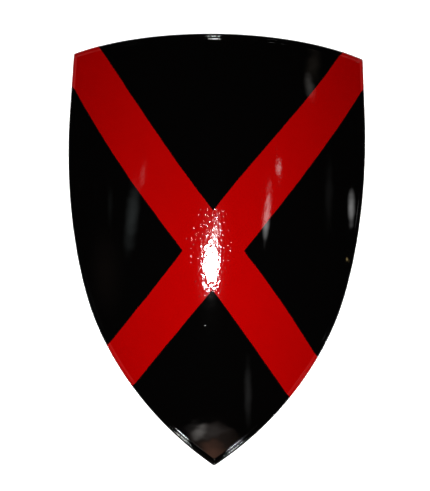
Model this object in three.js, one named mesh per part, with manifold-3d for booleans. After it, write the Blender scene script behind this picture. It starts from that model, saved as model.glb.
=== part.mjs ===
// A heater shield of sheet steel, lying face up as it rests when nobody holds it.
// All lengths are in millimetres, with +Z up and +Y towards the shield's top.
//
// The plate is described flat, as it was before bending: s runs across it, t runs up it from
// mid-height, and h is the height in front of its face. Bending rolls s onto a cylinder.

import * as THREE from 'three';
import { mergeVertices } from 'three/addons/utils/BufferGeometryUtils.js';
import Module from 'manifold-3d';

const wasm = await Module();
wasm.setup();

const DEG = Math.PI / 180;

// Sheet

const BEND_RADIUS = 340;
const SHEET = 1.5;

// Outline of the flat sheet, right half, from the top middle round to the point

const TOP_HEIGHT = 305.4;
const TOP_RADIUS = 1393;
const SHOULDER_HALF_WIDTH = 231.9;
const SHOULDER_FLARE = 4.6 * DEG;
const SIDE_STRAIGHT = 84.8;
const SIDE_RADIUS = 628;
const SIDE_TURN = 24 * DEG;
const HIP_RADIUS = 380;
const HIP_TURN = 13.2 * DEG;
const POINT_SIDE_RADIUS = 587;
const SHOULDER_ROUND = 3;
const POINT_ROUND = 5;
const SHARPEST = 0.4;

// Bead round the edge, and the hollow fillet between it and the face

const BEAD_RADIUS = 3.5;
const FILLET_RADIUS = 4;

// Steel wire loops welded to the back

const WIRE_RADIUS = 2.5;
const LOOP_CLEAR = 6;
const LOOP_BEND = 5;
const LOOP_SIDE_ROOM = 3;
const WELD_SINK = 1;

// Leather straps. Each hangs in an arc between two loops: span is the distance between their
// bars, and drop is how far its middle hangs from them.

const STRAP_GAP = 0.35;
const STRAP_TAPER = 14;
const STRAP_TAIL = 36;
const TAIL_SKIVE = 3;
const ARM_STRAP = { s: 88, t: 50, width: 40, leather: 3, span: 250, drop: 44 };
const HAND_GRIP = { s: -88, t: 50, width: 28, leather: 4, span: 180, drop: 40 };

// Rivets, one through each folded strap end

const RIVET_FROM_BAR = 24;
const RIVET_SHANK = 2;
const RIVET_HEAD = 4.5;
const RIVET_DOME = 2;
const RIVET_WASHER = 1;

// Rest: the shield lies on the widest part of its bead and tips towards its point, and the
// bead is worn flat where it touches.

const REST_TIP = 6.2 * DEG;
const WORN_FLAT = 0.35;

// Fineness of the solids

const OUTLINE_STEP = 12;
const CORNER_STEPS = 4;
const BEAD_STEPS = 11;
const FILLET_STEPS = 2;
const WIRE_SIDES = 8;
const WIRE_STEPS = 16;
const STRAP_STEP = 10;
const TAIL_STEPS = 8;
const ROUND_SIDES = 12;

const PAINTED_STEEL = { color: 0x0a0909, roughness: 0.12, metalness: 0 };
const LEATHER = { color: 0x3a2416, roughness: 0.6, metalness: 0 };
const BARE_STEEL = { color: 0x9a958c, roughness: 0.35, metalness: 1 };

// Solids and meshes

function toSolid(geometry) {
  const bare = geometry.clone();
  bare.deleteAttribute('normal');
  bare.deleteAttribute('uv');
  const merged = mergeVertices(bare, 1e-4);
  return new wasm.Manifold(new wasm.Mesh({
    numProp: 3,
    vertProperties: Float32Array.from(merged.attributes.position.array),
    triVerts: Uint32Array.from(merged.index.array),
  }));
}

function toMesh(name, solid, look) {
  const { vertProperties, triVerts } = solid.getMesh();
  const geometry = new THREE.BufferGeometry();
  geometry.setAttribute('position', new THREE.BufferAttribute(vertProperties, 3));
  geometry.setIndex(new THREE.BufferAttribute(triVerts, 1));
  geometry.computeVertexNormals();
  const mesh = new THREE.Mesh(geometry, new THREE.MeshStandardMaterial(look));
  mesh.name = name;
  return mesh;
}

// Walking along the edge with a heading that turns at a steady rate

function walk(start, curvature, length) {
  const half = length * curvature / 2;
  const chord = half === 0 ? length : length * Math.sin(half) / half;
  return {
    s: start.s + chord * Math.cos(start.heading - half),
    t: start.t + chord * Math.sin(start.heading - half),
    heading: start.heading - 2 * half,
  };
}

function lengthToMiddle(start, curvature) {
  let near = 0;
  let far = 1 / curvature;
  for (let i = 0; i < 60; i++) {
    const middle = (near + far) / 2;
    if (walk(start, curvature, middle).s > 0) {
      near = middle;
    } else {
      far = middle;
    }
  }
  return near;
}

const inward = (heading) => ({ s: Math.sin(heading), t: -Math.cos(heading) });
const mirrored = ({ s, t }) => ({ s: -s, t });

// A station is a place on the edge from which each ring of the bead is measured inwards: a
// point on a smooth run, or one step of the turn round a corner.

function edgeStations(stations, start, curvature, length, skip) {
  const steps = Math.max(1, Math.round(length / OUTLINE_STEP));
  for (let i = skip; i < steps; i++) {
    const at = walk(start, curvature, length * i / steps);
    const normal = inward(at.heading);
    stations.push({ at, normal, before: normal, after: normal, round: 0 });
  }
  return walk(start, curvature, length);
}

function cornerStations(stations, at, from, to, round, steps) {
  for (let i = 0; i <= steps; i++) {
    const normal = inward(from + (to - from) * i / CORNER_STEPS);
    stations.push({ at, normal, before: inward(from), after: inward(to), round });
  }
}

function outlineStations() {
  const right = [];
  const topTurn = Math.asin(SHOULDER_HALF_WIDTH / TOP_RADIUS);
  const topMiddle = { s: 0, t: TOP_HEIGHT, heading: 0 };
  let at = edgeStations(right, topMiddle, 1 / TOP_RADIUS, TOP_RADIUS * topTurn, 0);

  const sideHeading = SHOULDER_FLARE - Math.PI / 2;
  cornerStations(right, at, at.heading, sideHeading, SHOULDER_ROUND, CORNER_STEPS);
  at = { s: at.s, t: at.t, heading: sideHeading };
  at = edgeStations(right, at, 0, SIDE_STRAIGHT, 1);
  at = edgeStations(right, at, 1 / SIDE_RADIUS, SIDE_RADIUS * SIDE_TURN, 0);
  at = edgeStations(right, at, 1 / HIP_RADIUS, HIP_RADIUS * HIP_TURN, 0);
  const pointSide = lengthToMiddle(at, 1 / POINT_SIDE_RADIUS);
  at = edgeStations(right, at, 1 / POINT_SIDE_RADIUS, pointSide, 0);

  const leftHeading = -at.heading - 2 * Math.PI;
  cornerStations(right, at, at.heading, leftHeading, POINT_ROUND, CORNER_STEPS / 2);

  const left = right.slice(1, -1).reverse().map((station) => ({
    at: mirrored(station.at),
    normal: mirrored(station.normal),
    before: mirrored(station.after),
    after: mirrored(station.before),
    round: station.round,
  }));
  return [...right, ...left];
}

function inset(station, distance) {
  const { at, normal, before, after } = station;
  const cornered = station.round > 0;
  const radius = cornered ? Math.max(station.round - distance, SHARPEST) : 0;
  const spread = 1 + before.s * after.s + before.t * after.t;
  const reach = (distance + radius) / spread;
  return {
    s: at.s + reach * (before.s + after.s) - radius * normal.s,
    t: at.t + reach * (before.t + after.t) - radius * normal.t,
  };
}

// Section of the edge: from the foot of the fillet on the face, over the bead, to the back

function edgeSection() {
  const reach = BEAD_RADIUS + FILLET_RADIUS;
  const rise = SHEET + FILLET_RADIUS;
  const run = Math.sqrt(reach ** 2 - rise ** 2);
  const meeting = Math.atan2(rise, run);
  const section = [];
  for (let i = 0; i < FILLET_STEPS; i++) {
    const angle = -Math.PI / 2 - (Math.PI / 2 - meeting) * i / FILLET_STEPS;
    section.push({
      d: BEAD_RADIUS + run + FILLET_RADIUS * Math.cos(angle),
      h: FILLET_RADIUS + FILLET_RADIUS * Math.sin(angle),
    });
  }
  for (let i = 0; i <= BEAD_STEPS; i++) {
    const angle = meeting + (2 * Math.PI - meeting) * i / BEAD_STEPS;
    section.push({
      d: BEAD_RADIUS + BEAD_RADIUS * Math.cos(angle),
      h: -SHEET + BEAD_RADIUS * Math.sin(angle),
    });
  }
  return section;
}

function bend(s, t, h) {
  const angle = s / BEND_RADIUS;
  const radius = BEND_RADIUS + h;
  return [radius * Math.sin(angle), t, radius * Math.cos(angle) - BEND_RADIUS];
}

// Face between the upper and the lower edge, in slats that lie along the cylinder

function slats(ring, first) {
  const order = ring.map((point, i) => i);
  const leftmost = order.reduce((a, b) => (ring[b].s < ring[a].s ? b : a));
  const rightmost = order.reduce((a, b) => (ring[b].s > ring[a].s ? b : a));
  const upper = [];
  for (let i = leftmost; i !== rightmost; i = (i + 1) % ring.length) {
    upper.push(i);
  }
  upper.push(rightmost);
  const lower = [];
  for (let i = leftmost; i !== rightmost; i = (i + ring.length - 1) % ring.length) {
    lower.push(i);
  }
  lower.push(rightmost);

  const triangles = [];
  let u = 0;
  let v = 0;
  while (u < upper.length - 1 || v < lower.length - 1) {
    const upperNext = u < upper.length - 1 ? ring[upper[u + 1]].s : Infinity;
    const lowerNext = v < lower.length - 1 ? ring[lower[v + 1]].s : Infinity;
    const corner = [upper[u], lower[v]];
    if (upperNext < lowerNext) {
      u += 1;
      corner.push(upper[u]);
    } else {
      v += 1;
      corner.push(lower[v]);
    }
    if (new Set(corner).size === 3) {
      triangles.push(corner.map((i) => first + i));
    }
  }
  return triangles;
}

function plateGeometry() {
  const stations = outlineStations();
  const section = edgeSection();
  const count = stations.length;
  const rings = section.map(({ d }) => stations.map((station) => inset(station, d)));

  const positions = [];
  rings.forEach((ring, k) => {
    ring.forEach(({ s, t }) => positions.push(...bend(s, t, section[k].h)));
  });

  const triangles = [];
  for (let k = 0; k < section.length - 1; k++) {
    for (let i = 0; i < count; i++) {
      const here = k * count + i;
      const next = k * count + (i + 1) % count;
      triangles.push([here, next, next + count]);
      triangles.push([here, next + count, here + count]);
    }
  }
  const last = section.length - 1;
  triangles.push(...slats(rings[0], 0));
  triangles.push(...slats(rings[last], last * count).map(([a, b, c]) => [a, c, b]));

  const geometry = new THREE.BufferGeometry();
  geometry.setAttribute('position', new THREE.Float32BufferAttribute(positions, 3));
  geometry.setIndex(triangles.flat());
  return geometry;
}

// Local frame of a strap: x across the strap, y up the shield, z out through the face

function strapFrame({ s, t }) {
  const place = new THREE.Matrix4().makeRotationY(s / BEND_RADIUS);
  return place.setPosition(...bend(s, t, 0));
}

const barHeight = -SHEET - LOOP_CLEAR - WIRE_RADIUS;

function loopGeometry({ width }, y) {
  const half = width / 2 + LOOP_SIDE_ROOM + WIRE_RADIUS;
  const curveRise = half ** 2 / (2 * (BEND_RADIUS - SHEET));
  const weld = -SHEET - curveRise + WELD_SINK;
  const at = (x, z) => new THREE.Vector3(x, y, z);
  const path = new THREE.CurvePath();
  path.add(new THREE.LineCurve3(at(-half, weld), at(-half, barHeight + LOOP_BEND)));
  path.add(new THREE.QuadraticBezierCurve3(
    at(-half, barHeight + LOOP_BEND),
    at(-half, barHeight),
    at(-half + LOOP_BEND, barHeight),
  ));
  path.add(new THREE.LineCurve3(at(-half + LOOP_BEND, barHeight), at(half - LOOP_BEND, barHeight)));
  path.add(new THREE.QuadraticBezierCurve3(
    at(half - LOOP_BEND, barHeight),
    at(half, barHeight),
    at(half, barHeight + LOOP_BEND),
  ));
  path.add(new THREE.LineCurve3(at(half, barHeight + LOOP_BEND), at(half, weld)));
  const wire = new THREE.Shape().absarc(0, 0, WIRE_RADIUS, 0, 2 * Math.PI);
  return new THREE.ExtrudeGeometry(wire, {
    extrudePath: path,
    steps: WIRE_STEPS,
    curveSegments: WIRE_SIDES / 2,
    bevelEnabled: false,
  });
}

// Arc of a strap: u is the length along it from its first bar, and v is the distance from its
// middle line, away from the plate.

function strapArc({ span, drop }) {
  const radius = ((span / 2) ** 2 + drop ** 2) / (2 * drop);
  const halfTurn = Math.asin(span / 2 / radius);
  const centre = barHeight - drop + radius;
  const length = 2 * halfTurn * radius;
  const angle = (u) => u / radius - halfTurn;
  const point = (u, v) => new THREE.Vector2(
    (radius + v) * Math.sin(angle(u)),
    centre - (radius + v) * Math.cos(angle(u)),
  );
  return { length, angle, point };
}

function strapSideShape(strap) {
  const { length, point } = strapArc(strap);
  const hole = WIRE_RADIUS + STRAP_GAP;
  const nose = hole + strap.leather;

  const thickness = (fromBar) => {
    const fade = Math.cos(Math.PI * Math.min(fromBar / STRAP_TAPER, 1));
    return strap.leather + (nose - strap.leather) * (1 + fade) / 2;
  };
  const marks = [];
  for (let i = 0; i <= TAIL_STEPS; i++) {
    marks.push(STRAP_TAIL * i / TAIL_STEPS);
  }
  const free = length - 2 * (STRAP_TAIL + TAIL_SKIVE);
  const freeSteps = Math.round(free / STRAP_STEP);
  const along = [...marks];
  for (let i = 0; i <= freeSteps; i++) {
    along.push(STRAP_TAIL + TAIL_SKIVE + free * i / freeSteps);
  }
  along.push(...marks.map((mark) => length - mark).reverse());

  const outer = [];
  const inner = [];
  along.forEach((u) => {
    const fromBar = Math.min(u, length - u);
    const doubled = fromBar < STRAP_TAIL + TAIL_SKIVE / 2;
    outer.push(point(u, doubled ? thickness(fromBar) : 0));
    inner.push(point(u, -thickness(fromBar)));
  });

  const firstNose = [];
  const lastNose = [];
  const noseSteps = ROUND_SIDES / 2;
  for (let i = 1; i < noseSteps; i++) {
    const turn = Math.PI * i / noseSteps;
    firstNose.push(point(-nose * Math.sin(turn), -nose * Math.cos(turn)));
    lastNose.push(point(length + nose * Math.sin(turn), nose * Math.cos(turn)));
  }

  const shape = new THREE.Shape([...firstNose, ...outer, ...lastNose, ...inner.reverse()]);
  [0, length].forEach((u) => {
    const bar = point(u, 0);
    shape.holes.push(new THREE.Path().absarc(bar.x, bar.y, hole, 0, 2 * Math.PI, true));
  });
  return shape;
}

// Turns the strap's side shape, drawn in y and z, so that it is extruded along x
const SIDEWAYS = new THREE.Matrix4().makeBasis(
  new THREE.Vector3(0, 1, 0),
  new THREE.Vector3(0, 0, 1),
  new THREE.Vector3(1, 0, 0),
);

function strapGeometry(strap) {
  const geometry = new THREE.ExtrudeGeometry(strapSideShape(strap), {
    depth: strap.width,
    curveSegments: ROUND_SIDES / 2,
    bevelEnabled: false,
  });
  geometry.translate(0, 0, -strap.width / 2);
  return geometry.applyMatrix4(SIDEWAYS);
}

// Frame of a rivet: its axis is +Y, away from the plate

function rivetFrame(strap, u) {
  const { angle, point } = strapArc(strap);
  const at = point(u, 0);
  const turn = new THREE.Matrix4().makeRotationX(angle(u) - Math.PI / 2);
  return turn.setPosition(0, at.x, at.y);
}

function rivetProfile({ leather }) {
  const under = leather + STRAP_GAP;
  const profile = [
    [0, -under - RIVET_WASHER],
    [RIVET_HEAD, -under - RIVET_WASHER],
    [RIVET_HEAD, -under],
    [RIVET_SHANK, -under],
    [RIVET_SHANK, under],
    [RIVET_HEAD, under],
    [RIVET_HEAD * 0.87, under + RIVET_DOME * 0.5],
    [RIVET_HEAD * 0.5, under + RIVET_DOME * 0.87],
    [0, under + RIVET_DOME],
  ];
  return profile.map(([x, y]) => new THREE.Vector2(x, y));
}

// Assembly

const lay = new THREE.Matrix4().makeRotationX(REST_TIP);
const straps = { arm_strap: ARM_STRAP, hand_grip: HAND_GRIP };
const pieces = [];

let plate = toSolid(plateGeometry().applyMatrix4(lay));

for (const [name, strap] of Object.entries(straps)) {
  const place = lay.clone().multiply(strapFrame(strap));
  for (const y of [-strap.span / 2, strap.span / 2]) {
    plate = plate.add(toSolid(loopGeometry(strap, y).applyMatrix4(place)));
  }

  let band = toSolid(strapGeometry(strap).applyMatrix4(place));
  const { length } = strapArc(strap);
  const ends = { lower: RIVET_FROM_BAR, upper: length - RIVET_FROM_BAR };
  for (const [end, u] of Object.entries(ends)) {
    const at = place.clone().multiply(rivetFrame(strap, u));
    const punch = new THREE.CylinderGeometry(
      RIVET_SHANK + STRAP_GAP,
      RIVET_SHANK + STRAP_GAP,
      4 * strap.leather,
      ROUND_SIDES,
    );
    band = band.subtract(toSolid(punch.applyMatrix4(at)));
    const rivet = new THREE.LatheGeometry(rivetProfile(strap), ROUND_SIDES);
    const solid = toSolid(rivet.applyMatrix4(at));
    pieces.push(toMesh(`${name}_${end}_rivet`, solid, BARE_STEEL));
  }
  pieces.push(toMesh(name, band, LEATHER));
}

const bounds = plate.boundingBox();
const lowest = bounds.min[2] + WORN_FLAT;
const size = [0, 1, 2].map((axis) => bounds.max[axis] - bounds.min[axis]);
const below = new THREE.BoxGeometry(2 * size[0], 2 * size[1], size[2]);
below.translate(0, 0, lowest - size[2] / 2);
plate = plate.subtract(toSolid(below));
pieces.unshift(toMesh('plate', plate, PAINTED_STEEL));

const shield = new THREE.Group();
shield.add(...pieces);
shield.position.set(
  -(bounds.min[0] + bounds.max[0]) / 2,
  -(bounds.min[1] + bounds.max[1]) / 2,
  -lowest,
);

export default shield;
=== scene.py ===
# A heater shield of enamelled sheet steel with a red cross, lying face up.
# The plate is described flat, as in its solid: s runs across the sheet, t runs up it from
# mid-height and h is the height in front of its face, all in metres here.
import bpy
import math
from mathutils import Matrix, Vector


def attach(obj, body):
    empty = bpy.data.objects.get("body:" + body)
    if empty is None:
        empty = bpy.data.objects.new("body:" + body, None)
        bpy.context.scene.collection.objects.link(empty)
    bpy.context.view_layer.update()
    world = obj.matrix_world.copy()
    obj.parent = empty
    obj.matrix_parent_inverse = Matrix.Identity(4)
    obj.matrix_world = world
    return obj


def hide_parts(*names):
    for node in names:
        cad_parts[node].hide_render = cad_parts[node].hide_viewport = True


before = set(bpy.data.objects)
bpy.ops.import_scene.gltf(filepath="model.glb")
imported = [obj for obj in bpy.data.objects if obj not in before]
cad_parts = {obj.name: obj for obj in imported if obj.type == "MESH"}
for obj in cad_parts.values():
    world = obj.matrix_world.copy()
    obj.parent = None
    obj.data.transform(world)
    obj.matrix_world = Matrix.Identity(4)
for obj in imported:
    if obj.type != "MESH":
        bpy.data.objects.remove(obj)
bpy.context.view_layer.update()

MM = 0.001
DEG = math.pi / 180

# Sheet, outline and bead, as in the solid

BEND_RADIUS = 340 * MM
SHEET = 1.5 * MM
TOP_HEIGHT = 305.4 * MM
TOP_RADIUS = 1393 * MM
SHOULDER_HALF_WIDTH = 231.9 * MM
SHOULDER_FLARE = 4.6 * DEG
SIDE_STRAIGHT = 84.8 * MM
SIDE_RADIUS = 628 * MM
SIDE_TURN = 24 * DEG
HIP_RADIUS = 380 * MM
HIP_TURN = 13.2 * DEG
POINT_SIDE_RADIUS = 587 * MM
SHOULDER_ROUND = 3 * MM
POINT_ROUND = 5 * MM
SHARPEST = 0.4 * MM
BEAD_RADIUS = 3.5 * MM
FILLET_RADIUS = 4 * MM

# How it lies: tipped towards its point, then moved so that its worn flats touch the floor

REST_TIP = 6.2 * DEG
REST_MOVE = (0.0, -0.036 * MM, 72.635 * MM)
LAY = Matrix.Translation(REST_MOVE) @ Matrix.Rotation(REST_TIP, 4, "X")

# Wire loops, straps and rivets, as in the solids

WIRE_RADIUS = 2.5 * MM
LOOP_CLEAR = 6 * MM
LOOP_BEND = 5 * MM
LOOP_SIDE_ROOM = 3 * MM
LOOP_LEAD = 1 * MM
WELD_SINK = 1 * MM
BAR_HEIGHT = -SHEET - LOOP_CLEAR - WIRE_RADIUS
STRAP_GAP = 0.35 * MM
STRAP_TAPER = 14 * MM
STRAP_TAIL = 36 * MM
STRAPS = {
    "arm_strap": dict(
        s=88 * MM, t=50 * MM, width=40 * MM, leather=3 * MM, span=250 * MM, drop=44 * MM,
    ),
    "hand_grip": dict(
        s=-88 * MM, t=50 * MM, width=28 * MM, leather=4 * MM, span=180 * MM, drop=40 * MM,
    ),
}
RIVET_FROM_BAR = 24 * MM
RIVET_SHANK = 2 * MM
RIVET_HEAD = 4.5 * MM
RIVET_DOME = 2 * MM
RIVET_WASHER = 1 * MM

# Finer forms than the solids have

WELD_TOE = 4.6 * MM
WELD_RISE = 2.2 * MM
WELD_SUNK = 0.3 * MM
STRAP_SLACK = 0.1 * MM
STRAP_ROUND = 0.9 * MM
RIVET_BEDDED = 0.05 * MM
HEAD_LIP = 0.35 * MM
HEAD_EDGE = 0.2 * MM
HEAD_SUNK = 0.5 * MM
BURR_EDGE = 0.25 * MM
BURR_SUNK = 0.4 * MM
PEEN_SPREAD = 1.25
PEEN_TOP_SHARE = 0.7
PEEN_RISE = 0.3 * MM
PEEN_SHOULDER = 0.25 * MM

# Fineness of the meshes

# The rows beside the bead, on the face and on the back, keep the sheet's shading flat there.
OUTLINE_STEP = 3 * MM
HALVINGS = 60
CORNER_STEPS = 12
CORNER_CLEAR = 12 * MM
FILLET_STEPS = 7
BEAD_STEPS = 32
FACE_ROWS = (3 * MM, 0.6 * MM)
BACK_ROWS = (0.25 * MM, 1 * MM, 3 * MM)
WIRE_SIDES = 24
WIRE_BEND_STEPS = 8
WELD_STEPS = 6
TAIL_STEP = 1.5 * MM
ARC_STEP = 2 * MM
WRAP_STEPS = 18
STRAP_CORNER_STEPS = 4
STRAP_FLAT_STEPS = 8
RIVET_SIDES = 40
DOME_STEPS = 10

# The painted cross

# Each band lies between two masked edges, s = slope * t + middle, that sway a little from a
# straight line as tape does on a curved sheet. The lines and the speck of dust are measured from
# the middle of the photograph, which is PHOTO_MIDDLE above the sheet's own.
BANDS = (
    (
        dict(slope=-0.7686, middle=-55.72 * MM, sway=1.6 * MM),
        dict(slope=-0.7589, middle=31.79 * MM, sway=2.1 * MM),
    ),
    (
        dict(slope=0.8036, middle=-43.92 * MM, sway=3.4 * MM),
        dict(slope=0.8008, middle=43.44 * MM, sway=0.3 * MM),
    ),
)
SWAY_LENGTH = 330 * MM
SWAY_CREST = 95 * MM
EDGE_WANDER = 1.6 * MM
EDGE_SOFT = 0.35 * MM
CROTCH_ROUND = 2 * MM
DUST = (-15.8 * MM, -114.1 * MM)
DUST_RADIUS = 1.3 * MM
PHOTO_MIDDLE = 5.5 * MM


# Meshes

def add_mesh(name, points, faces, place=Matrix.Identity(4)):
    mesh = bpy.data.meshes.new(name)
    mesh.from_pydata([place @ Vector(p) for p in points], [], faces)
    mesh.validate()
    mesh.shade_smooth()
    piece = bpy.data.objects.new(name, mesh)
    bpy.context.collection.objects.link(piece)
    return piece


def dress(piece, material, slot, *nodes):
    piece.data.materials.append(material)
    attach(piece, "root")
    if nodes:
        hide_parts(*nodes)


def ring_faces(rings, count):
    """Faces between closed rings of points, count points to a ring."""
    faces = []
    for i in range(rings - 1):
        for j in range(count):
            here = i * count + j
            beside = i * count + (j + 1) % count
            faces.append((here, beside, beside + count, here + count))
    return faces


# Outline, as stations: places on the edge from which each ring of the bead is measured inwards

def walk(start, curvature, length):
    """Goes along an edge whose heading turns at a steady rate."""
    s, t, heading = start
    half = length * curvature / 2
    chord = length if half == 0 else length * math.sin(half) / half
    along = heading - half
    return s + chord * math.cos(along), t + chord * math.sin(along), heading - 2 * half


def inward(heading):
    return math.sin(heading), -math.cos(heading)


def length_to_middle(start, curvature):
    """How far an edge runs before it meets its mirror image on the middle line."""
    near, far = 0.0, 1 / curvature
    for _ in range(HALVINGS):
        middle = (near + far) / 2
        if walk(start, curvature, middle)[0] > 0:
            near = middle
        else:
            far = middle
    return near


def edge_stations(stations, start, curvature, length, skip=0):
    steps = max(1, round(length / OUTLINE_STEP))
    for i in range(skip, steps):
        s, t, heading = walk(start, curvature, length * i / steps)
        normal = inward(heading)
        stations.append(((s, t), normal, normal, normal, 0.0))
    return walk(start, curvature, length)


def corner_stations(stations, at, first, last, radius, upto=CORNER_STEPS):
    for i in range(upto + 1):
        normal = inward(first + (last - first) * i / CORNER_STEPS)
        stations.append((at[:2], normal, inward(first), inward(last), radius))


def outline_stations():
    right = []
    top_middle = (0.0, TOP_HEIGHT, 0.0)
    top_turn = math.asin(SHOULDER_HALF_WIDTH / TOP_RADIUS)
    trim = int(CORNER_CLEAR / OUTLINE_STEP)
    at = edge_stations(right, top_middle, 1 / TOP_RADIUS, TOP_RADIUS * top_turn)
    del right[len(right) - trim + 1:]
    side = SHOULDER_FLARE - math.pi / 2
    corner_stations(right, at, at[2], side, SHOULDER_ROUND)
    at = edge_stations(right, (at[0], at[1], side), 0, SIDE_STRAIGHT, trim)
    at = edge_stations(right, at, 1 / SIDE_RADIUS, SIDE_RADIUS * SIDE_TURN)
    at = edge_stations(right, at, 1 / HIP_RADIUS, HIP_RADIUS * HIP_TURN)
    point_side = length_to_middle(at, 1 / POINT_SIDE_RADIUS)
    at = edge_stations(right, at, 1 / POINT_SIDE_RADIUS, point_side)
    del right[len(right) - trim + 1:]
    corner_stations(right, at, at[2], -at[2] - 2 * math.pi, POINT_ROUND, CORNER_STEPS // 2)

    def flipped(pair):
        return -pair[0], pair[1]

    left = [
        (flipped(at), flipped(normal), flipped(after), flipped(before), radius)
        for at, normal, before, after, radius in reversed(right[1:-1])
    ]
    return right + left


def inset(station, distance):
    """The point of a station's ring that lies distance inside the edge."""
    (s, t), normal, before, after, corner = station
    radius = max(corner - distance, SHARPEST) if corner > 0 else 0.0
    reach = (distance + radius) / (1 + before[0] * after[0] + before[1] * after[1])
    return (
        s + reach * (before[0] + after[0]) - radius * normal[0],
        t + reach * (before[1] + after[1]) - radius * normal[1],
    )


# Plate

def bend(s, t, h):
    radius = BEND_RADIUS + h
    angle = s / BEND_RADIUS
    return Vector((radius * math.sin(angle), t, radius * math.cos(angle) - BEND_RADIUS))


def edge_section():
    """Section from the face, up the fillet and over the bead, to the back: (inset, h) pairs."""
    reach = BEAD_RADIUS + FILLET_RADIUS
    rise = SHEET + FILLET_RADIUS
    run = math.sqrt(reach ** 2 - rise ** 2)
    meeting = math.atan2(rise, run)
    foot = BEAD_RADIUS + run
    section = [(foot + row, 0.0) for row in FACE_ROWS]
    for i in range(FILLET_STEPS):
        angle = -math.pi / 2 - (math.pi / 2 - meeting) * i / FILLET_STEPS
        section.append((
            foot + FILLET_RADIUS * math.cos(angle),
            FILLET_RADIUS * (1 + math.sin(angle)),
        ))
    for i in range(BEAD_STEPS + 1):
        angle = meeting + (2 * math.pi - meeting) * i / BEAD_STEPS
        section.append((
            BEAD_RADIUS * (1 + math.cos(angle)),
            BEAD_RADIUS * math.sin(angle) - SHEET,
        ))
    return section + [(2 * BEAD_RADIUS + row, -SHEET) for row in BACK_ROWS]


def slats(ring, first):
    """Faces that fill a ring in slats along the bend; first is the ring's first point."""
    leftmost = min(range(len(ring)), key=lambda i: ring[i][0])
    rightmost = max(range(len(ring)), key=lambda i: ring[i][0])
    chains = []
    for way in (1, -1):
        chain = [leftmost]
        while chain[-1] != rightmost:
            chain.append((chain[-1] + way) % len(ring))
        chains.append(chain)
    upper, lower = chains
    faces = []
    u = v = 0
    while u < len(upper) - 1 or v < len(lower) - 1:
        upper_next = ring[upper[u + 1]][0] if u < len(upper) - 1 else math.inf
        lower_next = ring[lower[v + 1]][0] if v < len(lower) - 1 else math.inf
        corner = [upper[u], lower[v]]
        if upper_next < lower_next:
            u += 1
            corner.append(upper[u])
        else:
            v += 1
            corner.append(lower[v])
        if len(set(corner)) == 3:
            faces.append(tuple(first + i for i in corner))
    return faces


def build_plate(material):
    stations = outline_stations()
    section = edge_section()
    rings = [[inset(station, d) for station in stations] for d, _ in section]
    floor_height = -REST_MOVE[2]
    cosine = math.cos(REST_TIP)
    sine = math.sin(REST_TIP)
    points = []
    for (_, h), ring in zip(section, rings):
        for s, t in ring:
            p = bend(s, t, h)
            under = floor_height - (p.y * sine + p.z * cosine)
            if under > 0:
                # The bead is worn flat where it rests
                p.z += under / cosine
            points.append(p)
    last = (len(section) - 1) * len(stations)
    faces = ring_faces(len(section), len(stations))
    faces += slats(rings[0], 0)
    faces += [face[::-1] for face in slats(rings[-1], last)]
    piece = add_mesh("shield_plate", points, faces, LAY)
    dress(piece, material, "black_enamel", "plate")


# Sweeping a section along a path, and turning a profile about an axis

def sweep(name, path, section, across, place):
    """section holds (sideways, outward) pairs; across is the unit vector square to the path."""
    points = []
    for i, p in enumerate(path):
        before = path[max(i - 1, 0)]
        after = path[min(i + 1, len(path) - 1)]
        along = (after - before).normalized()
        out = along.cross(across).normalized()
        for a, b in section:
            points.append(p + across * a + out * b)
    count = len(section)
    last = (len(path) - 1) * count
    faces = ring_faces(len(path), count)
    faces.append(tuple(reversed(range(count))))
    faces.append(tuple(last + j for j in range(count)))
    return add_mesh(name, points, faces, place)


def turned(name, profile, sides, place):
    """A solid turned about Z; profile holds (radius, height) pairs, from the axis back to it."""
    points = []
    rings = []
    for radius, height in profile:
        count = 1 if radius == 0 else sides
        rings.append(range(len(points), len(points) + count))
        for j in range(count):
            angle = 2 * math.pi * j / sides
            points.append(Vector((radius * math.cos(angle), radius * math.sin(angle), height)))
    faces = []
    for first, second in zip(rings, rings[1:]):
        for j in range(sides):
            k = (j + 1) % sides
            face = []
            for ring, i in ((first, j), (first, k), (second, k), (second, j)):
                corner = ring[i % len(ring)]
                if corner not in face:
                    face.append(corner)
            if len(face) > 2:
                faces.append(tuple(face))
    return add_mesh(name, points, faces, place)


# Wire loops

def strap_frame(strap):
    """A strap's own frame has x across it, y up the shield and z out through the face."""
    place = Matrix.Rotation(strap["s"] / BEND_RADIUS, 4, "Y")
    place.translation = bend(strap["s"], strap["t"], 0)
    return LAY @ place


def loop_half(strap):
    return strap["width"] / 2 + LOOP_SIDE_ROOM + WIRE_RADIUS


def back_at(x):
    """Height of the sheet's back at x to the side of a strap's middle."""
    return -SHEET - x ** 2 / (2 * (BEND_RADIUS - SHEET))


def loop_path(strap, y):
    half = loop_half(strap)
    path = [
        Vector((-half, y, back_at(half) + WELD_SINK)),
        Vector((-half, y, BAR_HEIGHT + LOOP_BEND + LOOP_LEAD)),
    ]
    for i in range(WIRE_BEND_STEPS + 1):
        angle = math.pi / 2 * i / WIRE_BEND_STEPS
        path.append(Vector((
            -half + LOOP_BEND * (1 - math.cos(angle)),
            y,
            BAR_HEIGHT + LOOP_BEND * (1 - math.sin(angle)),
        )))
    return path + [Vector((-p.x, p.y, p.z)) for p in reversed(path)]


def weld_profile():
    profile = [(0.0, -WELD_SUNK), (WELD_TOE, -WELD_SUNK), (WELD_TOE, 0.0)]
    for i in range(1, WELD_STEPS + 1):
        angle = math.pi / 2 * i / WELD_STEPS
        profile.append((
            WELD_TOE - (WELD_TOE - WIRE_RADIUS) * math.sin(angle),
            WELD_RISE * (1 - math.cos(angle)),
        ))
    return profile + [(0.0, WELD_RISE)]


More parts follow.
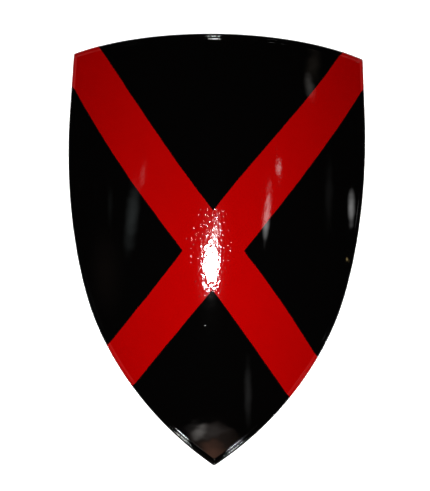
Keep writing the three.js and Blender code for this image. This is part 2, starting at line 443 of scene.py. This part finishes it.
def build_loops(material):
    around = [2 * math.pi * i / WIRE_SIDES for i in range(WIRE_SIDES)]
    circle = [(WIRE_RADIUS * math.cos(a), WIRE_RADIUS * math.sin(a)) for a in around]
    upwards = Vector((0, 1, 0))
    for name, strap in STRAPS.items():
        half = loop_half(strap)
        base = strap_frame(strap)
        for end, y in (("lower", -strap["span"] / 2), ("upper", strap["span"] / 2)):
            loop = sweep(f"{name}_{end}_loop", loop_path(strap, y), circle, upwards, base)
            dress(loop, material, "black_enamel")
            for side, x in (("left", -half), ("right", half)):
                lean = Matrix.Rotation(x / BEND_RADIUS, 4, "Y")
                at = Matrix.Translation((x, y, back_at(half))) @ lean
                place = base @ at @ Matrix.Rotation(math.pi, 4, "X")
                weld = turned(f"{name}_{end}_{side}_weld", weld_profile(), WIRE_SIDES, place)
                dress(weld, material, "black_enamel")


# Straps and rivets

def strap_arc(strap):
    """Arc of a strap: its length, its half turn, its radius, and a function that gives the point
    u along it from its first bar and v outwards from its middle line."""
    span, drop = strap["span"], strap["drop"]
    radius = ((span / 2) ** 2 + drop ** 2) / (2 * drop)
    half_turn = math.asin(span / 2 / radius)
    centre = BAR_HEIGHT - drop + radius

    def point(u, v):
        angle = u / radius - half_turn
        return Vector((0, (radius + v) * math.sin(angle), centre - (radius + v) * math.cos(angle)))

    return 2 * half_turn * radius, half_turn, radius, point


def strap_path(strap):
    """Middle line of the leather: from one tail round its bar, along the arc, round the other."""
    length, _, _, point = strap_arc(strap)
    flat = strap["leather"] / 2
    wrap = WIRE_RADIUS + STRAP_GAP + flat

    def spread(u):
        fade = (1 + math.cos(math.pi * min(u / STRAP_TAPER, 1))) / 2
        return flat + (wrap - flat) * fade

    tail_count = round(STRAP_TAIL / TAIL_STEP)
    tail = [STRAP_TAIL * (1 - i / tail_count) for i in range(tail_count)]
    first = [point(u, spread(u)) for u in tail]
    for i in range(WRAP_STEPS + 1):
        angle = math.pi * i / WRAP_STEPS
        first.append(point(-wrap * math.sin(angle), wrap * math.cos(angle)))
    arc_count = round((length - ARC_STEP) / ARC_STEP)
    middle = []
    for i in range(1, arc_count):
        u = length * i / arc_count
        middle.append(point(u, -spread(min(u, length - u))))
    return first + middle + [Vector((p.x, -p.y, p.z)) for p in reversed(first)]


def band_section(width, thick, rounding):
    """A rounded rectangle, with further points along its two wide sides."""
    section = []
    for corner, (a, b) in enumerate(((1, 1), (-1, 1), (-1, -1), (1, -1))):
        for i in range(STRAP_CORNER_STEPS + 1):
            angle = math.pi / 2 * (corner + i / STRAP_CORNER_STEPS)
            section.append((
                a * (width / 2 - rounding) + rounding * math.cos(angle),
                b * (thick / 2 - rounding) + rounding * math.sin(angle),
            ))
    dense = []
    for (a, b), (c, d) in zip(section, section[1:] + section[:1]):
        dense.append((a, b))
        if abs(c - a) > width / 3:
            shares = [i / STRAP_FLAT_STEPS for i in range(1, STRAP_FLAT_STEPS)]
            dense += [(a + (c - a) * share, b + (d - b) * share) for share in shares]
    return dense


def head_profile(strap):
    under = strap["leather"] - RIVET_BEDDED
    profile = [
        (0.0, under - HEAD_SUNK),
        (RIVET_HEAD - HEAD_EDGE, under - HEAD_SUNK),
        (RIVET_HEAD, under),
        (RIVET_HEAD, under + HEAD_LIP),
    ]
    for i in range(1, DOME_STEPS):
        angle = math.pi / 2 * i / DOME_STEPS
        profile.append((
            RIVET_HEAD * math.cos(angle),
            under + HEAD_LIP + (RIVET_DOME - HEAD_LIP) * math.sin(angle),
        ))
    return profile + [(0.0, under + RIVET_DOME)]


def burr_profile(strap):
    top = RIVET_BEDDED - strap["leather"]
    washer = top - RIVET_WASHER
    peened = RIVET_SHANK * PEEN_SPREAD
    return [
        (0.0, washer - PEEN_RISE),
        (peened * PEEN_TOP_SHARE, washer - PEEN_SHOULDER),
        (peened, washer),
        (RIVET_HEAD - BURR_EDGE, washer),
        (RIVET_HEAD, washer + BURR_EDGE),
        (RIVET_HEAD, top),
        (0.0, top + BURR_SUNK),
    ]


def build_straps(leather, steel):
    for name, strap in STRAPS.items():
        place = strap_frame(strap)
        section = band_section(strap["width"], strap["leather"] - STRAP_SLACK, STRAP_ROUND)
        path = strap_path(strap)
        band = sweep(f"{name}_leather", path, section, Vector((1, 0, 0)), place)
        dress(band, leather, "strap_leather", name)
        length, half_turn, radius, point = strap_arc(strap)
        profiles = {"head": head_profile(strap), "burr": burr_profile(strap)}
        for end, u in (("lower", RIVET_FROM_BAR), ("upper", length - RIVET_FROM_BAR)):
            angle = u / radius - half_turn
            at = Matrix.Translation(point(u, 0)) @ Matrix.Rotation(angle + math.pi, 4, "X")
            for part, profile in profiles.items():
                piece = turned(f"{name}_{end}_rivet_{part}", profile, RIVET_SIDES, place @ at)
                dress(piece, steel, "rivet_steel", f"{name}_{end}_rivet")


# Node trees

class Nodes:
    """A short way to write a node tree."""

    def __init__(self, tree):
        self.tree = tree

    def node(self, kind, **settings):
        made = self.tree.nodes.new(kind)
        for key, value in settings.items():
            setattr(made, key, value)
        return made

    def feed(self, socket, value):
        if isinstance(value, bpy.types.NodeSocket):
            self.tree.links.new(value, socket)
        else:
            socket.default_value = value

    def math(self, operation, *values, clamp=False):
        made = self.node("ShaderNodeMath", operation=operation, use_clamp=clamp)
        for socket, value in zip(made.inputs, values):
            self.feed(socket, value)
        return made.outputs[0]

    def add(self, first, second):
        return self.math("ADD", first, second)

    def subtract(self, first, second):
        return self.math("SUBTRACT", first, second)

    def times(self, first, second):
        return self.math("MULTIPLY", first, second)

    def length(self, first, second):
        squares = self.add(self.math("POWER", first, 2.0), self.math("POWER", second, 2.0))
        return self.math("SQRT", squares)

    def split(self, vector):
        made = self.node("ShaderNodeSeparateXYZ")
        self.feed(made.inputs[0], vector)
        return made.outputs

    def ramp(self, value, low, high, to_low=0.0, to_high=1.0, smooth=True):
        """A number that goes from to_low to to_high as value goes from low to high."""
        kind = "SMOOTHSTEP" if smooth else "LINEAR"
        made = self.node("ShaderNodeMapRange", interpolation_type=kind)
        for socket, given in zip(made.inputs, (value, low, high, to_low, to_high)):
            self.feed(socket, given)
        return made.outputs[0]

    def blend(self, share, first, second):
        """A number that goes from first to second as share goes from 0 to 1."""
        return self.ramp(share, 0.0, 1.0, first, second, smooth=False)

    def noise(self, where, scale, detail=2.0, roughness=0.5):
        made = self.node("ShaderNodeTexNoise")
        self.feed(made.inputs["Vector"], where)
        self.feed(made.inputs["Scale"], scale)
        self.feed(made.inputs["Detail"], detail)
        self.feed(made.inputs["Roughness"], roughness)
        return made.outputs[0]

    def cells(self, where, scale, **settings):
        made = self.node("ShaderNodeTexVoronoi", **settings)
        self.feed(made.inputs["Vector"], where)
        self.feed(made.inputs["Scale"], scale)
        return made.outputs

    def mix(self, share, first, second):
        made = self.node("ShaderNodeMix", data_type="RGBA")
        self.feed(made.inputs[0], share)
        self.feed(made.inputs[6], first)
        self.feed(made.inputs[7], second)
        return made.outputs[2]

    def bump(self, height, distance):
        made = self.node("ShaderNodeBump")
        self.feed(made.inputs["Strength"], 1.0)
        self.feed(made.inputs["Distance"], distance)
        self.feed(made.inputs["Height"], height)
        return made.outputs[0]


class Material(Nodes):
    """The node tree of a new material with its own shader."""

    def __init__(self, name):
        self.material = bpy.data.materials.new(name)
        self.material.use_nodes = True
        super().__init__(self.material.node_tree)
        self.shader = self.tree.nodes["Principled BSDF"]

    def coordinate(self, name):
        return self.node("ShaderNodeTexCoord").outputs[name]

    def surface(self, name, value):
        """Sets an input of the shader, or feeds it."""
        self.feed(self.shader.inputs[name], value)


# Enamel

BLACK = (0.0004, 0.00035, 0.00035, 1)
RED = (0.178, 0.0001, 0.0001, 1)
RED_SHADE = (0.15, 0.0001, 0.0001, 1)
BACK_BLACK = (0.0035, 0.0033, 0.0032, 1)
BACK_DULL = (0.009, 0.0082, 0.0078, 1)
RUBBED_STEEL = (0.22, 0.2, 0.18, 1)
BLACK_ROUGHNESS = 0.03
RED_ROUGHNESS = 0.045
BACK_DULLING = (0.16, 0.3)
STEEL_DULLING = 0.25
FILLET_DULLING = 0.4

# Where a look begins and where it is full. The first four are heights in front of the face, the
# fifth is how far forward the surface faces, and the last is a distance outside the crossing.
FILLET_START = (0.05 * MM, 0.4 * MM)
FILLET_END = (1.2 * MM, 2.0 * MM)
BEAD_START = (0.1 * MM, 0.8 * MM)
UNDER_BEAD = (-4.4 * MM, -4.75 * MM)
FACING_FRONT = (-0.45, -0.3)
OFF_CROSSING = (4 * MM, 26 * MM)

# Heights in the relief, as shares of RELIEF_DEPTH. Peel and nibs are in the coat of paint, so
# they are also multiplied by how heavy the coat is where they lie.
RELIEF_DEPTH = 0.3 * MM
PEEL_SHARE = 0.4
PEEL_STRETCH = (1.0, 0.45, 1.0)
NIB_SHARE = 0.2
NIB_RADIUS_IN_CELLS = 0.36
NIBS_LEFT_OUT = (0.5, 0.55)
SWELL_SHARE = 0.4
DUST_SHARE = 0.3
DENT_SHARE = 0.7
COAT_ON_BLACK = 0.03
COAT_AT_CROSSING = 1.2
COAT_ON_ARMS = 0.28


def on_sheet(n):
    """A point of the shield before it was laid down, and its s, t and h on the flat sheet."""
    upright = n.node("ShaderNodeMapping", vector_type="POINT")
    n.feed(upright.inputs["Vector"], n.coordinate("Object"))
    n.feed(upright.inputs["Location"], LAY.inverted().translation)
    n.feed(upright.inputs["Rotation"], (-REST_TIP, 0, 0))
    where = upright.outputs[0]
    x, y, z = n.split(where)
    depth = n.add(z, BEND_RADIUS)
    s = n.times(n.math("ARCTAN2", x, depth), BEND_RADIUS)
    t = n.subtract(y, PHOTO_MIDDLE)
    h = n.subtract(n.length(x, depth), BEND_RADIUS)
    return where, s, t, h


def outside_bands(n, s, t):
    """How far a point is outside each band of the cross, or inside it if below 0."""
    swing = n.math("COSINE", n.times(n.subtract(t, SWAY_CREST), 2 * math.pi / SWAY_LENGTH))

    def past(line):
        """How far s is past a masked edge, square to it."""
        straight = n.add(n.times(t, line["slope"]), line["middle"])
        edge = n.subtract(straight, n.times(swing, line["sway"]))
        return n.math("DIVIDE", n.subtract(s, edge), math.sqrt(1 + line["slope"] ** 2))

    return [n.math("MAXIMUM", n.times(past(left), -1.0), past(right)) for left, right in BANDS]


def enamel_relief(n, where, s, t, h, cross, bands):
    """The red is a heavy coat with orange peel and nibs, heaviest where its two strokes cross.
    All over there is a long swell, on the bead there are dents, and one speck of dust lies in
    the black below the crossing."""
    drawn_out = n.node("ShaderNodeMapping")
    n.feed(drawn_out.inputs["Vector"], where)
    n.feed(drawn_out.inputs["Scale"], PEEL_STRETCH)
    peel = n.subtract(n.noise(drawn_out.outputs[0], scale=260.0, detail=1.0), 0.5)

    cells = n.cells(where, scale=300.0)
    chance = n.node("ShaderNodeSeparateColor")
    n.feed(chance.inputs[0], cells["Color"])
    kept = n.ramp(chance.outputs[0], *NIBS_LEFT_OUT)
    nibs = n.times(n.ramp(cells["Distance"], 0.0, NIB_RADIUS_IN_CELLS, 1.0, 0.0), kept)

    coat = n.add(n.times(peel, PEEL_SHARE), n.times(nibs, NIB_SHARE))
    from_crossing = n.math("MAXIMUM", bands[0], bands[1])
    overlap = n.ramp(from_crossing, *OFF_CROSSING, COAT_AT_CROSSING, COAT_ON_ARMS)
    relief = n.times(coat, n.times(overlap, n.blend(cross, COAT_ON_BLACK, 1.0)))

    swell = n.noise(where, scale=40.0, detail=1.0)
    relief = n.add(relief, n.times(swell, SWELL_SHARE))

    from_dust = n.length(n.subtract(s, DUST[0]), n.subtract(t, DUST[1]))
    relief = n.add(relief, n.ramp(from_dust, 0.0, DUST_RADIUS, DUST_SHARE, 0.0))

    on_bead = n.ramp(h, *BEAD_START)
    dents = n.times(n.noise(where, scale=170.0, detail=1.0), on_bead)
    return n.add(relief, n.times(dents, DENT_SHARE))


def enamel():
    n = Material("enamel")
    where, s, t, h = on_sheet(n)

    # The cross, only where the surface faces the front
    bands = outside_bands(n, s, t)
    wander = n.times(n.subtract(n.noise(where, scale=30.0, detail=1.0), 0.5), EDGE_WANDER)
    edge = n.add(n.math("SMOOTH_MIN", bands[0], bands[1], CROTCH_ROUND), wander)
    front = n.ramp(n.split(n.coordinate("Normal"))[2], *FACING_FRONT)
    back = n.subtract(1.0, front)
    cross = n.times(n.ramp(edge, -EDGE_SOFT, EDGE_SOFT, 1.0, 0.0), front)

    # Under the bead, small chips show the steel
    chips = n.ramp(n.noise(where, scale=210.0, detail=3.0, roughness=0.6), 0.69, 0.72)
    rubbed = n.times(chips, n.ramp(h, *UNDER_BEAD))
    worn = n.ramp(n.noise(where, scale=19.0, detail=5.0, roughness=0.65), 0.35, 0.7)

    thick = n.ramp(n.noise(where, scale=60.0, detail=3.0, roughness=0.6), 0.35, 0.75)
    red = n.mix(n.times(thick, 0.22), RED, RED_SHADE)
    colour = n.mix(cross, BLACK, red)
    colour = n.mix(back, colour, n.mix(worn, BACK_BLACK, BACK_DULL))
    n.surface("Base Color", n.mix(rubbed, colour, RUBBED_STEEL))

    # The red is duller in the fillet
    in_fillet = n.times(n.ramp(h, *FILLET_START), n.ramp(h, *FILLET_END, 1.0, 0.0))
    red_fillet = n.times(in_fillet, cross)
    rough = n.blend(cross, BLACK_ROUGHNESS, RED_ROUGHNESS)
    rough = n.add(rough, n.times(back, n.ramp(worn, 0.0, 1.0, *BACK_DULLING)))
    rough = n.add(rough, n.times(rubbed, STEEL_DULLING))
    rough = n.add(rough, n.times(red_fillet, FILLET_DULLING))
    n.surface("Roughness", rough)
    n.surface("IOR", 1.5)
    n.surface("Specular IOR Level", n.ramp(red_fillet, 0.0, 1.0, 0.5, 0.1))

    relief = enamel_relief(n, where, s, t, h, cross, bands)
    n.surface("Normal", n.bump(relief, RELIEF_DEPTH))
    return n.material


# Wire, leather, steel and floor

WIRE_BLACK = (0.004, 0.0037, 0.0036, 1)
WIRE_RUBBED = (0.03, 0.027, 0.025, 1)
LEATHER_DARK = (0.043, 0.019, 0.009, 1)
LEATHER_LIGHT = (0.105, 0.05, 0.023, 1)
LEATHER_GRAIN = (0.02, 0.009, 0.005, 1)
STEEL_BRIGHT = (0.56, 0.53, 0.49, 1)
STEEL_TARNISH = (0.26, 0.22, 0.18, 1)
FLOOR_DARKER = (0.9, 0.9, 0.9, 1)
FLOOR_LIGHTER = (0.93, 0.93, 0.93, 1)


def black_wire():
    n = Material("painted_wire")
    where = n.coordinate("Object")
    rubbed = n.ramp(n.noise(where, scale=240.0, detail=3.0, roughness=0.6), 0.6, 0.68)
    n.surface("Base Color", n.mix(rubbed, WIRE_BLACK, WIRE_RUBBED))
    n.surface("Roughness", n.ramp(n.noise(where, scale=130.0), 0.3, 0.7, 0.2, 0.38))
    n.surface("Normal", n.bump(n.noise(where, scale=420.0), 0.12 * MM))
    return n.material


def strap_leather():
    n = Material("waxed_leather")
    where = n.coordinate("Object")
    grain = n.ramp(n.cells(where, scale=650.0, feature="DISTANCE_TO_EDGE")["Distance"], 0.0, 0.16)
    mottle = n.noise(where, scale=38.0, detail=4.0, roughness=0.6)
    colour = n.mix(n.ramp(mottle, 0.3, 0.72), LEATHER_DARK, LEATHER_LIGHT)
    n.surface("Base Color", n.mix(n.ramp(grain, 0.0, 1.0, 0.55, 0.0), colour, LEATHER_GRAIN))
    n.surface("Roughness", n.ramp(mottle, 0.3, 0.7, 0.42, 0.62))
    creases = n.node("ShaderNodeTexWave", wave_type="BANDS", bands_direction="Y")
    n.feed(creases.inputs["Vector"], where)
    n.feed(creases.inputs["Scale"], 60.0)
    n.feed(creases.inputs["Distortion"], 9.0)
    n.feed(creases.inputs["Detail"], 3.0)
    relief = n.add(n.times(grain, 0.5), n.times(creases.outputs["Fac"], 0.25))
    n.surface("Normal", n.bump(relief, 0.22 * MM))
    return n.material


def rivet_steel():
    n = Material("rivet_steel")
    where = n.coordinate("Object")
    spots = n.ramp(n.noise(where, scale=520.0, detail=4.0, roughness=0.65), 0.52, 0.7)
    n.surface("Base Color", n.mix(spots, STEEL_BRIGHT, STEEL_TARNISH))
    n.surface("Roughness", n.ramp(spots, 0.0, 1.0, 0.22, 0.5))
    n.surface("Metallic", 1.0)
    n.surface("Normal", n.bump(n.noise(where, scale=900.0, detail=3.0), 0.08 * MM))
    return n.material


def floor_material():
    n = Material("floor")
    shade = n.noise(n.coordinate("Object"), scale=3.0)
    n.surface("Base Color", n.mix(shade, FLOOR_DARKER, FLOOR_LIGHTER))
    n.surface("Roughness", 0.9)
    n.surface("Specular IOR Level", 0.1)
    n.surface("Emission Color", (1, 1, 1, 1))
    n.surface("Emission Strength", 0.5)
    return n.material


build_plate(enamel())
build_loops(black_wire())
build_straps(strap_leather(), rivet_steel())


# Camera

# It has the photograph's own angle, CAMERA_REACH straight in front of the face and level with the
# middle of the photograph. The photograph's size and FOCAL are in its pixels, SENSOR is in mm.
PHOTO_WIDTH = 430
PHOTO_HEIGHT = 491
FOCAL = 1100.0
SENSOR = 36.0
CAMERA_REACH = 1.5557
CAMERA_YAW = 1.5 * DEG
CAMERA_ROLL = -0.87 * DEG
SIDESTEP = 3.4 * MM

turn = Matrix.Rotation(CAMERA_ROLL, 3, "Z") @ Matrix.Rotation(CAMERA_YAW, 3, "Y")
back_turn = turn.transposed()
eye = back_turn @ Vector((-SIDESTEP, 0, CAMERA_REACH)) + Vector((0, PHOTO_MIDDLE, 0))
camera_data = bpy.data.cameras.new("camera")
camera_data.lens = SENSOR * FOCAL / PHOTO_HEIGHT
camera_data.clip_start = 0.05
camera = bpy.data.objects.new("camera", camera_data)
bpy.context.collection.objects.link(camera)
camera.matrix_world = LAY @ (Matrix.Translation(eye) @ back_turn.to_4x4())
bpy.context.scene.camera = camera


# Floor

FLOOR_REACH = 40.0

floor = add_mesh(
    "floor",
    [
        (-FLOOR_REACH, -FLOOR_REACH, 0),
        (FLOOR_REACH, -FLOOR_REACH, 0),
        (FLOOR_REACH, FLOOR_REACH, 0),
        (-FLOOR_REACH, FLOOR_REACH, 0),
    ],
    [(0, 1, 2, 3)],
)
floor.data.materials.append(floor_material())


# Lamps

# The flash and the two soft lamps light the shield and the floor. The rest are soft lamps that
# only show mirrored in the gloss: SPOT is the bright spot, and GLINTS are the faint ones. Their
# across and down are the middle of a glint in the photograph, and wide and tall its size there,
# all in pixels. Its top leans lean pixels to the right, glow is its brightness, and a higher
# softness fades it sooner towards its rim.
LAMP_AWAY = 1.5
FLASH = dict(across=212, down=245, droop=3 * DEG, wide=0.15, tall=0.09, power=5.5, spread=60 * DEG)
SOFT_LAMPS = {
    "soft_left": dict(at=(-1.6, 0.6, 2.1), back=(-0.6, 0.2, 0.77), size=1.6, power=7.0),
    "soft_right": dict(at=(1.7, -0.4, 2.1), back=(0.62, -0.15, 0.77), size=1.6, power=5.0),
}

WHITE = (1.0, 1.0, 1.0)
COOL = (0.88, 1.0, 1.0)
CREAM = (1.0, 0.96, 0.92)
IVORY = (1.0, 0.95, 0.9)
BLUSH = (1.0, 0.92, 0.9)
TAN = (1.0, 0.86, 0.7)
BROWN = (1.0, 0.72, 0.6)
GOLD = (1.0, 0.75, 0.3)
RUST = (1.0, 0.42, 0.26)
SPOT = {
    "core": dict(across=211, down=265, wide=14, tall=35, glow=300.0, softness=0.5),
    "neck": dict(across=213, down=256, wide=6, tall=50, lean=2, glow=40.0, softness=0.6),
    "tail": dict(across=216, down=229, wide=4, tall=30, lean=1, glow=12.0, softness=1.0),
}
GLINTS = {
    "red_low": dict(across=267, down=214, wide=9, tall=72, lean=2.5, glow=5.5, softness=2.5),
    "red_high": dict(across=279, down=168, wide=8, tall=20, lean=-1, glow=4.5, softness=2.0),
    "right_top": dict(across=310, down=87, wide=16, tall=32, lean=-4, glow=0.7, colour=IVORY),
    "right_high": dict(across=313, down=66, wide=26, tall=50, lean=3, glow=0.14, colour=TAN),
    "right_edge": dict(across=351.5, down=208, wide=14, tall=50, glow=3.2),
    "right_faint": dict(across=329, down=195, wide=16, tall=100, glow=0.08),
    "left": dict(across=132, down=216, wide=22, tall=100, lean=5, glow=0.42, colour=COOL),
    "left_red": dict(
        across=143, down=174, wide=8, tall=34, lean=3, glow=0.6, softness=2.0, colour=COOL,
    ),
    "left_faint": dict(across=110, down=205, wide=11, tall=56, glow=0.07, colour=COOL),
    "left_low": dict(across=106, down=272, wide=60, tall=130, lean=-4, glow=0.04, colour=BROWN),
    "low": dict(across=248, down=392, wide=12, tall=90, lean=-1, glow=0.27),
    "gold": dict(across=347, down=258, wide=4, tall=7, glow=4.0, softness=1.5, colour=GOLD),
    "point": dict(across=213, down=449, wide=58, tall=56, glow=0.24, softness=0.6, colour=BROWN),
    "point_left": dict(across=199, down=432, wide=20, tall=24, lean=6, glow=1.7, colour=CREAM),
    "point_high": dict(across=208, down=431, wide=60, tall=22, glow=0.4, softness=2.0, colour=BLUSH),
    "point_low": dict(across=212, down=455, wide=34, tall=34, glow=1.0, softness=1.5, colour=RUST),
}


def lamp(name, place, wide, tall, power, colour=WHITE):
    """A soft lamp that shines down its own -Z and shows neither to the camera nor in the gloss."""
    data = bpy.data.lights.new(name, "AREA")
    data.shape = "ELLIPSE"
    data.size = wide
    data.size_y = tall
    data.energy = power
    data.color = colour
    light = bpy.data.objects.new(name, data)
    light.matrix_world = place
    light.visible_camera = False
    light.visible_glossy = False
    bpy.context.collection.objects.link(light)
    return light


def facing(at, back):
    """The place at a point whose own +Z runs along back, with its +Y upwards on the shield."""
    up = Vector((0, 1, 0))
    up = (up - up.dot(back) * back).normalized()
    side = up.cross(back).normalized()
    return LAY @ Matrix.Translation(at) @ Matrix((side, up, back)).transposed().to_4x4()


def mirrored(across, down):
    """The place, LAMP_AWAY from the face, that shows mirrored in it at that pixel."""
    aim = ((across - PHOTO_WIDTH / 2) / FOCAL, (PHOTO_HEIGHT / 2 - down) / FOCAL, -1.0)
    ray = back_turn @ Vector(aim).normalized()
    start = eye + Vector((0, 0, BEND_RADIUS))
    a = ray.x ** 2 + ray.z ** 2
    b = start.x * ray.x + start.z * ray.z
    c = start.x ** 2 + start.z ** 2 - BEND_RADIUS ** 2
    hit = start + ray * ((-b - math.sqrt(b * b - a * c)) / a)
    normal = Vector((hit.x, 0, hit.z)).normalized()
    hit.z -= BEND_RADIUS
    back = ray - 2 * ray.dot(normal) * normal
    return facing(hit + back * LAMP_AWAY, back)


def grown(wide, tall):
    """The size of a lamp LAMP_AWAY from the face whose mirrored image is wide by tall pixels."""
    pixel = CAMERA_REACH / FOCAL
    flat = 1 + LAMP_AWAY / CAMERA_REACH
    return wide * pixel * (flat + 2 * LAMP_AWAY / BEND_RADIUS), tall * pixel * flat


def glint(name, across, down, wide, tall, glow, colour=WHITE, lean=0, softness=3.0):
    whole = wide + 2 * abs(lean)
    size = grown(whole, tall)
    power = glow * math.pi * size[0] * size[1]
    light = lamp(name, mirrored(across, down), *size, power, colour)
    light.visible_glossy = True
    light.visible_diffuse = False
    light.visible_transmission = False
    light.data.shape = "RECTANGLE"
    light.data.use_shadow = False
    light.data.use_nodes = True

    # The glow fades from the middle, over an ellipse whose middle line leans
    n = Nodes(light.data.node_tree)
    place = n.split(n.node("ShaderNodeNewGeometry").outputs["Parametric"])
    x = n.times(n.subtract(place[0], 0.5), 2 * whole / wide)
    y = n.times(n.subtract(place[1], 0.5), 2.0)
    x = n.subtract(x, n.times(y, 2 * lean / wide))
    off = n.add(n.times(x, x), n.times(y, y))
    fade = n.math("POWER", n.math("SUBTRACT", 1.0, off, clamp=True), softness)
    n.feed(n.tree.nodes["Emission"].inputs["Strength"], fade)


flash_place = mirrored(FLASH["across"], FLASH["down"])
flash_place = flash_place @ Matrix.Rotation(-FLASH["droop"], 4, "X")
flash = lamp("flash", flash_place, FLASH["wide"], FLASH["tall"], FLASH["power"])
flash.data.spread = FLASH["spread"]

for name, soft in SOFT_LAMPS.items():
    place = facing(Vector(soft["at"]), Vector(soft["back"]).normalized())
    lamp(name, place, soft["size"], soft["size"], soft["power"])

for kind, glints in (("flash", SPOT), ("glint", GLINTS)):
    for name, values in glints.items():
        glint(f"{kind}_{name}", **values)


# World, which lights evenly but shows dark in the gloss, as the photograph's dark room does

WORLD_LIGHT = 0.3
WORLD_DARK = (0.02, 0.016, 0.014, 1)
WORLD_DARK_STRENGTH = 0.25

world = bpy.data.worlds.new("world")
world.use_nodes = True
bpy.context.scene.world = world
sky = Nodes(world.node_tree)
bright = world.node_tree.nodes["Background"]
sky.feed(bright.inputs["Color"], (1, 1, 1, 1))
sky.feed(bright.inputs["Strength"], WORLD_LIGHT)
dark = sky.node("ShaderNodeBackground")
sky.feed(dark.inputs["Color"], WORLD_DARK)
sky.feed(dark.inputs["Strength"], WORLD_DARK_STRENGTH)
either = sky.node("ShaderNodeMixShader")
sky.feed(either.inputs[0], sky.node("ShaderNodeLightPath").outputs["Is Glossy Ray"])
sky.feed(either.inputs[1], bright.outputs[0])
sky.feed(either.inputs[2], dark.outputs[0])
sky.feed(world.node_tree.nodes["World Output"].inputs["Surface"], either.outputs[0])

bpy.context.scene.view_settings.view_transform = "Standard"
